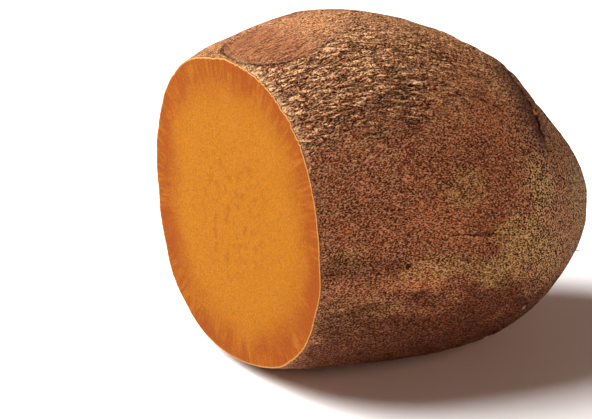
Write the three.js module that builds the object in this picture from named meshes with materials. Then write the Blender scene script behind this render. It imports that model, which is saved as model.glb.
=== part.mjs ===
// A large sweet potato with one end sliced off.
// Units are millimetres, +Z is up and +X runs from the cut face to the tapering tail end.
// The root lies on a small flat spot under its belly, with the origin below the middle of its box.
//
// The skin is one surface of two parameters. "Along" is an angle that grows from 0 at the cut
// to 90 degrees at the tip, and the distance from the cut is LENGTH times its sine, so that the
// stations crowd together where the tail rounds off. "Around" is the angle about the root's
// own centre line: 0 is +Y, 90 is the top, 180 is -Y and 270 is the belly.

import * as THREE from 'three';

// Driving dimensions

// From the cut face to the tip of the tail.
const LENGTH = 99;

// Each list below has one value for every 11.25 degrees along, the first at the cut and the
// last at the tip. The half sizes are those of the egg that the root would be, so the true
// half size of a section is the value times the cosine of the angle along.
const HALF_WIDTH = [38, 43, 47, 48.5, 47.5, 45, 42.5, 41, 39];
const HALF_HEIGHT = [38, 44, 46.5, 47, 48.5, 43.5, 40, 39, 38.5];

// The centre line: how far it bends sideways, and how high it is above the surface.
const CENTRE_Y = [0, -1, -3.5, -4.5, -3, -1.5, -1.5, -1.5, -1.5];
const CENTRE_Z = [40, 42, 41.5, 38, 35.5, 30.5, 28.5, 28.5, 28.5];

// How far the section at the cut is from a plain ellipse, as shares of its radius.
const THREE_LOBES = 0.01;
const SQUARENESS = 0.02;
const SQUARENESS_TWIST = 0.01;

// Slow swells of the root, and lengthwise ropes under the skin: millimetres of height, and
// how many ropes there are around the root.
const SWELL_HEIGHT = 0.4;
const ROPE_HEIGHT = 0.25;
const ROPES_AROUND = 11;

// The smooth hollow beside the cut, where a flake of skin came off: its middle and half size
// in degrees along and around, and its depth.
const HOLLOW_MIDDLE = [9.5, 75];
const HOLLOW_HALF_SIZE = [8, 32];
const HOLLOW_DEPTH = 0.8;

// The crease where the tail lobe begins: a line of points in degrees along and around, with
// a narrow groove on it, and a wide saddle a little further towards the tail, both in
// millimetres.
const CREASE_POINTS = [[43.5, 90], [48, 105], [50.5, 120], [49, 135], [45, 150]];
const GROOVE_DEPTH = 0.9;
const GROOVE_HALF_WIDTH = 1.8;
const SADDLE_DEPTH = 1.4;
const SADDLE_HALF_WIDTH = 9;
const SADDLE_OFFSET = 2.5;

// Root scars: shallow dimples in lengthwise rows. The rows are spread evenly around the root
// from SCAR_FIRST_ROW on. In a row the first scar is at SCAR_START along, and the others
// follow in steps. Each row is set back from the one before, in turns of three, and its scars
// wander to both sides of it.
const SCAR_ROWS = 5;
const SCARS_IN_ROW = 3;
const SCAR_FIRST_ROW = 24;
const SCAR_START = 12;
const SCAR_STEP = 21;
const SCAR_SET_BACK = 6.5;
const SCAR_WANDER = 9;

// A scar's depth, and its half size along and around, in millimetres.
const SCAR_DEPTH = 0.7;
const SCAR_HALF_ALONG = 2.6;
const SCAR_HALF_AROUND = 5.5;

// The relief dies away this many degrees before the tip, and this many degrees to each side
// of the belly's middle, where the root lies.
const TIP_FADE = 20;
const BELLY_FADE = 55;
const BELLY = 270;

// How finely the skin and the cut face are divided. The steps along are closer together
// near the cut by the share CROWDING.
const STEPS_AROUND = 112;
const STEPS_ALONG = 40;
const CROWDING = 0.3;
const CUT_RINGS = 3;

const DEGREES = Math.PI / 180;
const QUARTER_TURN = 90;
const FULL_TURN = 360;

// Smooth value of a list at an angle along: a uniform cubic B-spline with straight ends.
function smooth(values, along) {
  const last = values.length - 1;
  const place = (along / QUARTER_TURN) * last;
  const index = Math.min(Math.floor(place), last - 1);
  const t = place - index;
  const at = (i) => {
    if (i < 0) return 2 * values[0] - values[1];
    if (i > last) return 2 * values[last] - values[last - 1];
    return values[i];
  };
  const before = (1 - t) ** 3 * at(index - 1);
  const here = (3 * t ** 3 - 6 * t ** 2 + 4) * at(index);
  const next = (-3 * t ** 3 + 3 * t ** 2 + 3 * t + 1) * at(index + 1);
  const after = t ** 3 * at(index + 2);
  return (before + here + next + after) / 6;
}

// The shorter way round from one angle to another, in degrees from -180 to 180.
function turnBetween(from, to) {
  return ((to - from + 540) % FULL_TURN) - 180;
}

// 1 in the middle of a bump, falling softly to 0 at a distance of 1 and beyond.
function bump(distance) {
  return Math.max(0, 1 - distance * distance) ** 2;
}

// The section's radius as a share of the ellipse's. The difference fades towards the tail.
function sectionShape(along, around) {
  const three = THREE_LOBES * Math.cos(3 * around * DEGREES);
  const four = SQUARENESS * Math.cos(4 * around * DEGREES);
  const twist = SQUARENESS_TWIST * Math.sin(4 * around * DEGREES);
  return 1 + Math.cos(along * DEGREES) ** 2 * (twist - three - four);
}

// The root's half width at an angle along, in millimetres.
function halfWidthAt(along) {
  return smooth(HALF_WIDTH, along) * Math.cos(along * DEGREES);
}

// Millimetres on the skin, along and around, from one place to another that is near it.
function stepsOnSkin(from, along, around) {
  const slide = LENGTH * (Math.sin(along * DEGREES) - Math.sin(from[0] * DEGREES));
  const rise = halfWidthAt(from[0]) - halfWidthAt(along);
  const across = turnBetween(from[1], around) * DEGREES * halfWidthAt(along);
  return [Math.sign(slide) * Math.hypot(slide, rise), across];
}

// Slow swells all over, and ropes that run lengthwise and wander a little.
function swellHeight(along, around) {
  const a = along * DEGREES;
  const r = around * DEGREES;
  const swell = Math.cos(a) * Math.sin(2 * r + 3.1 * a + 0.6) * Math.sin(2.6 * a + 0.4);
  const wander = 0.5 * Math.sin(4 * a + r);
  const rope = Math.sin(ROPES_AROUND * r + wander) * Math.sin(3 * r + 2 * a + 1.2);
  return ROPE_HEIGHT * Math.cos(a) ** 2 * rope - SWELL_HEIGHT * swell;
}

// The hollow beside the cut is an oval dish with a flat floor.
function hollowDepth(along, around) {
  const onward = (along - HOLLOW_MIDDLE[0]) / HOLLOW_HALF_SIZE[0];
  const sideways = turnBetween(HOLLOW_MIDDLE[1], around) / HOLLOW_HALF_SIZE[1];
  return HOLLOW_DEPTH * bump(onward ** 2 + sideways ** 2);
}

// The crease follows its line of points and runs out softly at both ends of the line.
function creaseDepth(along, around) {
  const last = CREASE_POINTS.length - 1;
  const start = CREASE_POINTS[0][1];
  const share = turnBetween(start, around) / turnBetween(start, CREASE_POINTS[last][1]);
  const place = Math.min(Math.max(share, 0), 1) * last;
  const index = Math.min(Math.floor(place), last - 1);
  const [before, after] = [CREASE_POINTS[index][0], CREASE_POINTS[index + 1][0]];
  const line = before + (after - before) * (place - index);
  const across = stepsOnSkin([line, around], along, around)[0];
  const groove = GROOVE_DEPTH * bump(across / GROOVE_HALF_WIDTH);
  const saddle = SADDLE_DEPTH * bump((across - SADDLE_OFFSET) / SADDLE_HALF_WIDTH);
  const runOut = bump(Math.max(0, Math.abs(share - 0.5) - 0.3) / 0.5);
  return runOut * (groove + saddle);
}

// The middles of the root scars, in degrees along and around.
function scarPlaces() {
  const places = [];
  for (let row = 0; row < SCAR_ROWS; row += 1) {
    for (let step = 0; step < SCARS_IN_ROW; step += 1) {
      const along = SCAR_START + SCAR_STEP * step + SCAR_SET_BACK * (row % 3);
      const wander = SCAR_WANDER * Math.sin(7 * row + 3 * step);
      places.push([along, SCAR_FIRST_ROW + (FULL_TURN / SCAR_ROWS) * row + wander]);
    }
  }
  return places;
}

const SCARS = scarPlaces();

function scarDepth(along, around) {
  let depth = 0;
  for (const scar of SCARS) {
    const [onward, sideways] = stepsOnSkin(scar, along, around);
    depth += SCAR_DEPTH * bump(Math.hypot(onward / SCAR_HALF_ALONG, sideways / SCAR_HALF_AROUND));
  }
  return depth;
}

// Height of the skin above the smooth egg, in millimetres.
function reliefHeight(along, around) {
  const tip = Math.min(1, (QUARTER_TURN - along) / TIP_FADE);
  const belly = 1 - bump(turnBetween(BELLY, around) / BELLY_FADE);
  const swells = tip * belly * (swellHeight(along, around) - scarDepth(along, around));
  return swells - creaseDepth(along, around) - hollowDepth(along, around);
}

// One point of the skin. What would lie lower than the surface that the root rests on is
// pressed flat, which gives the belly its flat spot.
function skinPoint(along, around) {
  const [c, s] = [Math.cos(around * DEGREES), Math.sin(around * DEGREES)];
  const [narrowing, nearness] = [Math.cos(along * DEGREES), Math.sin(along * DEGREES)];
  const shape = sectionShape(along, around);
  const relief = reliefHeight(along, around);
  const wide = narrowing * (smooth(HALF_WIDTH, along) * shape + relief);
  const tall = narrowing * (smooth(HALF_HEIGHT, along) * shape + relief);
  const x = LENGTH * nearness + relief * nearness ** 2;
  const y = smooth(CENTRE_Y, along) + wide * c;
  const z = smooth(CENTRE_Z, along) + tall * s;
  return [x, y, Math.max(z, 0)];
}

// The closed body: rings of skin from the cut to the tip, then rings of the flat cut face.
function rootGeometry() {
  const positions = [];
  const faces = [];
  const ring = (index) => index * STEPS_AROUND;
  for (let i = 0; i < STEPS_ALONG; i += 1) {
    const share = i / STEPS_ALONG;
    const along = QUARTER_TURN * share * (1 - CROWDING + CROWDING * share);
    for (let j = 0; j < STEPS_AROUND; j += 1) {
      positions.push(...skinPoint(along, (FULL_TURN * j) / STEPS_AROUND));
    }
  }
  const tip = positions.length / 3;
  positions.push(...skinPoint(QUARTER_TURN, 0));
  for (let i = 0; i < STEPS_ALONG - 1; i += 1) {
    for (let j = 0; j < STEPS_AROUND; j += 1) {
      const k = (j + 1) % STEPS_AROUND;
      faces.push(ring(i) + j, ring(i) + k, ring(i + 1) + k);
      faces.push(ring(i) + j, ring(i + 1) + k, ring(i + 1) + j);
    }
  }
  for (let j = 0; j < STEPS_AROUND; j += 1) {
    const k = (j + 1) % STEPS_AROUND;
    faces.push(ring(STEPS_ALONG - 1) + j, ring(STEPS_ALONG - 1) + k, tip);
  }
  addCutFace(positions, faces);
  const geometry = new THREE.BufferGeometry();
  geometry.setAttribute('position', new THREE.Float32BufferAttribute(positions, 3));
  geometry.setIndex(faces);
  geometry.computeVertexNormals();
  return geometry;
}

// The flat cut face shrinks the first ring of skin towards the centre line in a few rings.
function addCutFace(positions, faces) {
  const centre = [0, CENTRE_Y[0], CENTRE_Z[0]];
  const rim = positions.slice(0, 3 * STEPS_AROUND);
  let outer = 0;
  for (let step = 1; step < CUT_RINGS; step += 1) {
    const inner = positions.length / 3;
    const share = 1 - step / CUT_RINGS;
    for (let j = 0; j < STEPS_AROUND; j += 1) {
      const [, y, z] = rim.slice(3 * j, 3 * j + 3);
      positions.push(0, centre[1] + share * (y - centre[1]), centre[2] + share * (z - centre[2]));
    }
    for (let j = 0; j < STEPS_AROUND; j += 1) {
      const k = (j + 1) % STEPS_AROUND;
      faces.push(outer + j, inner + k, outer + k);
      faces.push(outer + j, inner + j, inner + k);
    }
    outer = inner;
  }
  const middle = positions.length / 3;
  positions.push(...centre);
  for (let j = 0; j < STEPS_AROUND; j += 1) {
    faces.push(outer + j, middle, outer + ((j + 1) % STEPS_AROUND));
  }
}

// Move a geometry so that the middle of its box is above the origin. Its belly is at height 0.
function standOverOrigin(geometry) {
  geometry.computeBoundingBox();
  const middle = geometry.boundingBox.getCenter(new THREE.Vector3());
  geometry.translate(-middle.x, -middle.y, -geometry.boundingBox.min.z);
  return geometry;
}

const skin = new THREE.MeshStandardMaterial({ color: 0x8a5636, roughness: 0.75, metalness: 0 });

const root = new THREE.Mesh(standOverOrigin(rootGeometry()), skin);
root.name = 'sweet_potato';

const sweetPotato = new THREE.Group();
sweetPotato.add(root);

export default sweetPotato;
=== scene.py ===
# %% [markdown]
# # A cut sweet potato
#
# The root is one piece: a thick, blunt egg of orange flesh in a thin brown skin, with one end
# cut off flat. What makes it look real is its surface, so most of this lesson is about
# relief and colour that belong together: every gap between two wrinkles is lower and painted
# darker as shade, and every crest is higher and painted paler as a highlight.
#
# The solid that carries the size comes from a packed model. This script loads it, builds a
# finer skin over it and paints both the skin and the cut face with nodes.

# %% Load the frame
import math

import bpy
import numpy as np
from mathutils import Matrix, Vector


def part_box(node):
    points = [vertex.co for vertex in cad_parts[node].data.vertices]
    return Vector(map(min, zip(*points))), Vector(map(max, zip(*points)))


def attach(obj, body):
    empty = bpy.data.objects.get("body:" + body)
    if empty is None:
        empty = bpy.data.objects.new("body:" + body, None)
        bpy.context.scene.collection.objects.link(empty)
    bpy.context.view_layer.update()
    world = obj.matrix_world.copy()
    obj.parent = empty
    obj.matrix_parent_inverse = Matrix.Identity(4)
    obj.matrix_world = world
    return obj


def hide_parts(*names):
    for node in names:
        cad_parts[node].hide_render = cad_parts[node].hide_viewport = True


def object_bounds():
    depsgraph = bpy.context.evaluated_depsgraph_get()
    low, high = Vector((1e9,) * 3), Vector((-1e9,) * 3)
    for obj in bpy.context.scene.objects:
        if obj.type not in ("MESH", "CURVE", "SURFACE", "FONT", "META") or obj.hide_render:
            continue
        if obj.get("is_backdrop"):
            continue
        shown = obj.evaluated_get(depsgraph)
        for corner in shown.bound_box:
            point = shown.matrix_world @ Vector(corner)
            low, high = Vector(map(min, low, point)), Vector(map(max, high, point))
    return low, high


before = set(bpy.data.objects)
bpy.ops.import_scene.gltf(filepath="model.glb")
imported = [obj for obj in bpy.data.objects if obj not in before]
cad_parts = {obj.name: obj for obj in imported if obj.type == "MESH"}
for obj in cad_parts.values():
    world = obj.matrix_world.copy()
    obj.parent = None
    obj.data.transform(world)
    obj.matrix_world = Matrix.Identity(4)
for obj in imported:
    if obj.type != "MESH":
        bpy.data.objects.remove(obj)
CAD_BOX = [list(corner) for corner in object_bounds()]
NODE = "sweet_potato"
LOW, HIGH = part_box(NODE)
print("node", NODE, "is", [round(1000 * side, 1) for side in HIGH - LOW], "mm")

# %% [markdown]
# ## The smooth egg
#
# A root like this could be a subdivided box, but a formula keeps it exactly on the solid. Two
# angles place a point: "along" grows from 0 at the cut to 90 degrees at the tip, and "around"
# turns about the root's centre line, with 90 on top and 270 under the belly. Short lists of
# half sizes and centres, one for every 11.25 degrees along, are smoothed by a B-spline.

# %% Driving dimensions, in millimetres
LENGTH = 99
HALF_WIDTH = [38, 43, 47, 48.5, 47.5, 45, 42.5, 41, 39]
HALF_HEIGHT = [38, 44, 46.5, 47, 48.5, 43.5, 40, 39, 38.5]
CENTRE_Y = [0, -1, -3.5, -4.5, -3, -1.5, -1.5, -1.5, -1.5]
CENTRE_Z = [40, 42, 41.5, 38, 35.5, 30.5, 28.5, 28.5, 28.5]
QUARTER_TURN = 90
BELLY = 270
MM = 0.001


def smooth(values, along):
    """Value of a list at an angle along: a uniform cubic B-spline whose ends run on straight."""
    v = np.array(values, float)
    v = np.concatenate([[2 * v[0] - v[1]], v, [2 * v[-1] - v[-2]]])
    last = len(values) - 1
    place = np.clip(along / QUARTER_TURN * last, 0, last - 1e-9)
    i = np.floor(place).astype(int)
    t = place - i
    before = (1 - t) ** 3 * v[i]
    here = (3 * t**3 - 6 * t**2 + 4) * v[i + 1]
    following = (-3 * t**3 + 3 * t**2 + 3 * t + 1) * v[i + 2]
    return (before + here + following + t**3 * v[i + 3]) / 6


def turn(start, end):
    """The shorter way round from one angle to another, in degrees from -180 to 180."""
    return (end - start + 540) % 360 - 180


def bump(distance):
    """1 in the middle, falling softly to 0 at a distance of 1: the square of 1 minus its square."""
    return np.maximum(0, 1 - distance**2) ** 2


def ramp(value, low, high):
    """0 below low, 1 above high, and a smooth S between them."""
    t = np.clip((value - low) / (high - low), 0, 1)
    return t * t * (3 - 2 * t)


print("the root is", LENGTH, "mm long, and each list has", len(HALF_WIDTH), "values")

# %% [markdown]
# ## The large relief
#
# The next few cells hold the solid's own forms, and the finer skin repeats them, so that both
# stay together. A real section isn't quite round: it has three and four faint lobes. Places
# on the skin are compared in millimetres, because a degree is short near the tip.

# %% The section, and distances on the skin
THREE_LOBES, SQUARENESS, SQUARENESS_TWIST = 0.01, 0.02, 0.01


def section_shape(along, around):
    """The section's radius as a share of the ellipse's: three and four faint lobes that fade
    towards the tail with the square of the cosine."""
    r = np.radians(around)
    three = THREE_LOBES * np.cos(3 * r)
    four = SQUARENESS * np.cos(4 * r)
    twist = SQUARENESS_TWIST * np.sin(4 * r)
    return 1 + np.cos(np.radians(along)) ** 2 * (twist - three - four)


def half_width_at(along):
    """The root's half width there: the smoothed list times the cosine."""
    return smooth(HALF_WIDTH, along) * np.cos(np.radians(along))


def steps_on_skin(start, along, around):
    """Millimetres on the skin, along and around, from one place to another near it."""
    slide = LENGTH * (np.sin(np.radians(along)) - np.sin(np.radians(start[0])))
    rise = half_width_at(np.asarray(start[0], float)) - half_width_at(along)
    across = np.radians(turn(start[1], around)) * half_width_at(along)
    return np.sign(slide) * np.hypot(slide, rise), across


print("a third of the way, the root is", 2 * half_width_at(np.array(30.0)).round(1), "mm wide")

# %% [markdown]
# ## Swells, ropes and a hollow
#
# Roots thicken unevenly: the surface swells slowly, and bundles of fibres lie under the skin
# like faint ropes. Both are products of sine waves, because such waves close on themselves
# around the root. Beside the cut lies a smooth hollow, where a flake of skin came off.

# %% Swells, ropes and a hollow
SWELL_HEIGHT, ROPE_HEIGHT, ROPES_AROUND = 0.4, 0.25, 11
HOLLOW_MIDDLE, HOLLOW_HALF_SIZE, HOLLOW_DEPTH = (9.5, 75), (8, 32), 0.8


def swell_height(along, around):
    """Slow swells, and ropes that run lengthwise and wander a little: products of sines. A
    whole number times the angle around is a count of waves; the rest turns them on the way."""
    a, r = np.radians(along), np.radians(around)
    swell = np.cos(a) * np.sin(2 * r + 3.1 * a + 0.6) * np.sin(2.6 * a + 0.4)
    wander = 0.5 * np.sin(4 * a + r)
    rope = np.sin(ROPES_AROUND * r + wander) * np.sin(3 * r + 2 * a + 1.2)
    return ROPE_HEIGHT * np.cos(a) ** 2 * rope - SWELL_HEIGHT * swell


def hollow_depth(along, around):
    """An oval dish with a flat floor."""
    onward = (along - HOLLOW_MIDDLE[0]) / HOLLOW_HALF_SIZE[0]
    sideways = turn(HOLLOW_MIDDLE[1], around) / HOLLOW_HALF_SIZE[1]
    return HOLLOW_DEPTH * bump(onward**2 + sideways**2)


print("ropes are", ROPE_HEIGHT, "mm high, and the hollow is", HOLLOW_DEPTH, "mm deep")

# %% [markdown]
# ## The crease before the tail
#
# Where the root narrows quickly, its skin has folded into a crease. It could be sculpted, but
# a line through five places, with a depth that depends on the distance from it, can be
# moved and measured: a narrow groove, and a wide saddle beside it.

# %% The crease before the tail
CREASE_POINTS = [(43.5, 90), (48, 105), (50.5, 120), (49, 135), (45, 150)]
CREASE_CORE, CREASE_FADE = 0.3, 0.5
GROOVE_DEPTH, GROOVE_HALF_WIDTH = 0.9, 1.8
SADDLE_DEPTH, SADDLE_HALF_WIDTH, SADDLE_OFFSET = 1.4, 9, 2.5


def crease_place(along, around):
    """Millimetres across the crease's line, and how much of the crease is there: 1 in the
    core about its middle, and less towards its ends."""
    lines, angles = np.array(CREASE_POINTS, float).T
    share = turn(angles[0], around) / turn(angles[0], angles[-1])
    line = np.interp(share, np.linspace(0, 1, len(lines)), lines)
    across = steps_on_skin((line, around), along, around)[0]
    beyond_core = np.maximum(0, np.abs(share - 0.5) - CREASE_CORE)
    return across, bump(beyond_core / CREASE_FADE)


def crease_depth(along, around):
    """A narrow groove on the line and a wide saddle a little further towards the tail."""
    across, share = crease_place(along, around)
    groove = GROOVE_DEPTH * bump(across / GROOVE_HALF_WIDTH)
    saddle = SADDLE_DEPTH * bump((across - SADDLE_OFFSET) / SADDLE_HALF_WIDTH)
    return share * (groove + saddle)


print("the crease is", GROOVE_DEPTH + SADDLE_DEPTH, "mm deep at most")

# %% [markdown]
# ## Root scars
#
# Thin side roots leave dimples in five rows along the root. The rows are even around it, but
# each is set back against the next and wanders a little, as a plant does.

# %% Root scars
SCAR_ROWS, SCARS_IN_ROW, SCAR_FIRST_ROW, SCAR_START = 5, 3, 24, 12
SCAR_STEP, SCAR_SET_BACK, SCAR_WANDER = 21, 6.5, 9
SCAR_DEPTH, SCAR_HALF_ALONG, SCAR_HALF_AROUND = 0.7, 2.6, 5.5


def scar_places():
    """Middles of the root scars: rows evenly around, each set back in turns of three."""
    for row in range(SCAR_ROWS):
        for step in range(SCARS_IN_ROW):
            along = SCAR_START + SCAR_STEP * step + SCAR_SET_BACK * (row % 3)
            wander = SCAR_WANDER * math.sin(7 * row + 3 * step)
            yield along, SCAR_FIRST_ROW + 360 / SCAR_ROWS * row + wander


def scar_depth(along, around):
    """Shallow dimples, longer around the root than along it."""
    depth = 0 * along
    for scar in scar_places():
        onward, sideways = steps_on_skin(scar, along, around)
        depth += SCAR_DEPTH * bump(np.hypot(onward / SCAR_HALF_ALONG, sideways / SCAR_HALF_AROUND))
    return depth


print("there are", len(list(scar_places())), "root scars")

# %% [markdown]
# ## The smooth skin
#
# All large forms are heights in millimetres, so they can be added up. The sum pushes each
# point of the egg outwards in its section. Where the root lies, it is pressed flat: a small
# spot under the belly carries it.

# %% The smooth skin
TIP_FADE, BELLY_FADE = 20, 55


def large_relief(along, around):
    """All large forms together; swells and scars fade at the tip and around the belly."""
    tip = np.minimum(1, (QUARTER_TURN - along) / TIP_FADE)
    belly = 1 - bump(turn(BELLY, around) / BELLY_FADE)
    swells = tip * belly * (swell_height(along, around) - scar_depth(along, around))
    return swells - crease_depth(along, around) - hollow_depth(along, around)


def skin_points(along, around):
    """Points of the skin: an ellipse about the centre line, with the relief added outwards.
    What would be lower than the surface under the root is pressed flat."""
    c, s = np.cos(np.radians(around)), np.sin(np.radians(around))
    narrowing, nearness = np.cos(np.radians(along)), np.sin(np.radians(along))
    shape, relief = section_shape(along, around), large_relief(along, around)
    wide = narrowing * (smooth(HALF_WIDTH, along) * shape + relief)
    tall = narrowing * (smooth(HALF_HEIGHT, along) * shape + relief)
    x = LENGTH * nearness + relief * nearness**2
    y = smooth(CENTRE_Y, along) + wide * c
    z = smooth(CENTRE_Z, along) + tall * s
    return np.stack([x, y, np.maximum(z, 0)], axis=-1)


print("the tip is at", skin_points(np.array(90.0), np.array(0.0)).round(1), "mm")

# %% [markdown]
# ## Where the root stands
#
# The solid was moved so that the middle of its box is over the origin. A coarse copy of the
# skin has the same box, so the two middles give the step from this formula's place to it.

# %% Find the step from the formula's place to the solid's
coarse = skin_points(*np.meshgrid(np.linspace(0, 90, 200), np.arange(0, 360, 2.0), indexing="ij"))
coarse = coarse.reshape(-1, 3)
middle = (coarse.min(axis=0) + coarse.max(axis=0)) / 2
step_to_frame = np.array((LOW + HIGH) / 2) / MM - middle
step_to_frame[2] = 0
print("the formula moves by", step_to_frame.round(2), "mm")
print("its box is", np.ptp(coarse, axis=0).round(1), "mm")

# %% [markdown]
# ## Noise as whole arrays
#
# Skin needs irregular forms. Gradient noise gives them: space is divided into unit cubes,
# each corner gets a random slope, and the eight slopes blend smoothly inside the cube. The
# random slopes come from scrambled corner coordinates, so they are the same in every run.

# %% Gradient noise
SCRAMBLERS = [np.uint32(n) for n in (0x9E3779B1, 0x85EBCA77, 0xC2B2AE3D, 0x27D4EB2F)]
MIXERS = [(15, np.uint32(0x2C1B3C6D)), (12, np.uint32(0x297A2D39))]
TEN_BITS = 1023
NOISE_GAIN = 1.6


def scramble(corner, seed):
    """A random-looking whole number for each corner: its coordinates and the seed times large
    odd numbers, combined, then shifted and multiplied twice."""
    parts = corner.astype(np.int64).astype(np.uint32)
    h = np.full(parts.shape[:-1], (seed * int(SCRAMBLERS[3])) & 0xFFFFFFFF, np.uint32)
    for axis in range(3):
        h = h ^ (parts[..., axis] * SCRAMBLERS[axis])
    for shift, factor in MIXERS:
        h = (h ^ (h >> np.uint32(shift))) * factor
    return h ^ (h >> np.uint32(15))


def noise(points, seed):
    """Smooth random heights, about -1 to 1, one wave for every one or two units."""
    cell = np.floor(points)
    t = points - cell
    blend = t**3 * (t * (6 * t - 15) + 10)
    total = 0
    for corner in np.ndindex(2, 2, 2):
        offset = np.array(corner)
        h = scramble(cell + offset, seed)
        bits = [(h >> np.uint32(10 * axis)) & np.uint32(TEN_BITS) for axis in range(3)]
        slope = np.stack(bits, axis=-1) / (TEN_BITS / 2) - 1
        weight = np.prod(np.where(offset == 1, blend, 1 - blend), axis=-1)
        total = total + weight * ((t - offset) * slope).sum(axis=-1)
    return NOISE_GAIN * total


def layered_noise(points, seed, layers=3):
    """Several noises added, each half as high and twice as fine as the one before."""
    total = 0
    for layer in range(layers):
        total = total + noise(points * 2**layer, seed + layer) / 2**layer
    return total


sample = noise(np.random.default_rng(1).uniform(0, 50, (20000, 3)), 7)
print("noise runs from", sample.min().round(2), "to", sample.max().round(2))

# %% [markdown]
# ## The grid of the skin
#
# The skin is a grid of rings and columns. Fine wrinkles need points about half a millimetre
# apart, which is near what one piece may hold, so the columns crowd a little towards the side
# with the coarse wrinkles, and the rings towards the cut.

# %% The grid of the skin
RINGS, COLUMNS = 150, 600
RING_CROWDING = 0.3
COLUMN_CROWDING = 0.22
CROWDED_SIDE = 150
EDGE_ROUNDING = 0.25

ring_share = np.arange(RINGS) / RINGS
first_along = math.degrees(math.asin(EDGE_ROUNDING / LENGTH))
ring_along = QUARTER_TURN * ring_share * (1 - RING_CROWDING + RING_CROWDING * ring_share)
ring_along = first_along + ring_along * (1 - first_along / QUARTER_TURN)
column_turn = np.arange(COLUMNS) * 360 / COLUMNS
crowding = COLUMN_CROWDING * np.sin(np.radians(column_turn - CROWDED_SIDE))
column_around = column_turn - np.degrees(crowding)
along, around = np.meshgrid(ring_along, column_around, indexing="ij")
base_points = skin_points(along, around)
print("skin grid:", along.shape, "points")

# %% [markdown]
# ## Coordinates that lie in the skin
#
# Wrinkles on a root run lengthwise. Plain x, y and z would squash them at the blunt tail, so
# the first coordinate is the distance walked on the skin from the cut, and the other two are
# the place in the section. Dividing the first by a stretch makes long, narrow forms. Each
# pattern below has a seed, a whole number that picks it out of all possible ones.

# %% Coordinates that lie in the skin
fine_along = np.linspace(0, QUARTER_TURN, 2000)
walk = np.hypot(
    np.diff(LENGTH * np.sin(np.radians(fine_along))), np.diff(half_width_at(fine_along))
)
walked = np.concatenate([[0], np.cumsum(walk)])
distance_on_skin = np.interp(along, fine_along, walked)
section_y = half_width_at(along) * np.cos(np.radians(around))
section_z = half_width_at(along) * np.sin(np.radians(around))


def skin_noise(size, stretch, seed, layers=1, lean=0.0, warp=0.0):
    """Noise with forms of that size in millimetres, longer lengthwise by the stretch. Lean
    slides them around the root as they run on, and warp bends them."""
    tilt = np.radians(lean * distance_on_skin)
    y = section_y * np.cos(tilt) - section_z * np.sin(tilt)
    z = section_y * np.sin(tilt) + section_z * np.cos(tilt)
    points = np.stack([distance_on_skin / stretch, y, z], axis=-1) / size
    if warp:
        bends = [noise(points / 3 + 9 * axis, seed + 50 + axis) for axis in range(3)]
        points = points + warp * np.stack(bends, axis=-1)
    return layered_noise(points, seed, layers)


print("the skin is", round(float(walked[-1]), 1), "mm from the cut to the tip")

# %% [markdown]
# ## Zones
#
# No part of the skin is like the next. Each zone is a soft oval, given by its middle and half
# size in degrees along and around, and a strength. Noise breaks up the edges, so that no oval
# shows. The same kinds of patches go on round the back and the belly.

# %% Zones
OLIVE_PATCHES = [
    (37, 163, 5, 10, 1), (32, 183, 7, 15, 1), (27, 193, 6, 8, 0.9), (21, 163, 5, 8, 0.55),
    (17, 188, 6, 6, 0.6), (5, 204, 8, 9, 0.4), (61, 165, 13, 26, 0.9), (40, 192, 9, 12, 0.7),
    (3, 181, 5, 6, 0.4), (24, 22, 10, 16, 0.9), (52, 335, 12, 24, 0.8), (10, 322, 10, 18, 0.7),
    (66, 60, 12, 40, 0.7), (40, 288, 12, 16, 0.6), (44, 48, 8, 12, 0.6),
]
# Darker skin in small spots; the large ovals low on the front, from about 200 to 225 degrees
# around, are painted shade towards the belly.
DARK_AND_SHADE_PATCHES = [
    (29, 200, 6, 6, 0.8), (23, 213, 8, 11, 0.8), (42, 128, 6, 26, 0.6), (3, 183, 5, 5, 0.6),
    (18, 129, 3, 4, 0.7), (10, 186, 3, 3, 0.5), (34, 222, 22, 26, 1), (14, 221, 25, 28, 1),
    (22, 210, 16, 14, 0.9), (2, 200, 4, 8, 0.4), (12, 136, 8, 10, 0.45), (33, 8, 7, 9, 0.7),
    (15, 345, 8, 10, 0.6), (48, 300, 9, 12, 0.6), (55, 20, 8, 12, 0.5),
]
WARM_PATCHES = [
    (13, 191, 6, 8, 1), (18, 172, 12, 10, 0.5), (50, 185, 9, 22, 0.8), (10, 86, 8, 16, 0.6),
    (30, 345, 10, 16, 0.8), (52, 75, 9, 20, 0.6), (8, 40, 9, 14, 0.6), (26, 300, 9, 16, 0.8),
    (38, 116, 9, 16, 0.8), (26, 138, 10, 12, 0.7), (23, 124, 8, 11, 0.8),
]
TAN_PATCHES = [
    (20, 95, 34, 52, 1), (8, 120, 16, 24, 0.7), (56, 165, 26, 46, 0.55), (30, 40, 24, 40, 0.6),
    (40, 118, 12, 20, 0.9), (56, 200, 14, 16, 0.8), (60, 330, 20, 50, 0.4),
]
WRINKLE_PATCHES = [
    (8, 121, 27, 30, 1), (28, 106, 20, 28, 0.65), (22, 330, 26, 34, 0.7), (40, 250, 24, 40, 0.3),
    (36, 30, 22, 30, 0.45), (60, 110, 16, 60, 0.3),
]
EDGE_BREAKUP, ZONE_EDGE = 0.45, (-0.05, 0.55)


def zone(patches, seed):
    """The strongest of the soft ovals at each point, with noise added where one is weak."""
    breakup = EDGE_BREAKUP * skin_noise(5, 1.5, seed, layers=3)
    strongest = np.zeros_like(along)
    for middle_along, middle_around, half_along, half_around, strength in patches:
        onward = (along - middle_along) / half_along
        sideways = turn(middle_around, around) / half_around
        oval = 1 - np.hypot(onward, sideways)
        strongest = np.maximum(strongest, strength * ramp(oval + breakup, *ZONE_EDGE))
    return strongest


zones = {
    "olive": zone(OLIVE_PATCHES, 11),
    "dark": zone(DARK_AND_SHADE_PATCHES, 21),
    "warm": zone(WARM_PATCHES, 31),
    "tan": zone(TAN_PATCHES, 41),
}
wrinkled = zone(WRINKLE_PATCHES, 51)
print("zones cover", {name: f"{100 * z.mean():.0f}%" for name, z in zones.items()})

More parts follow.
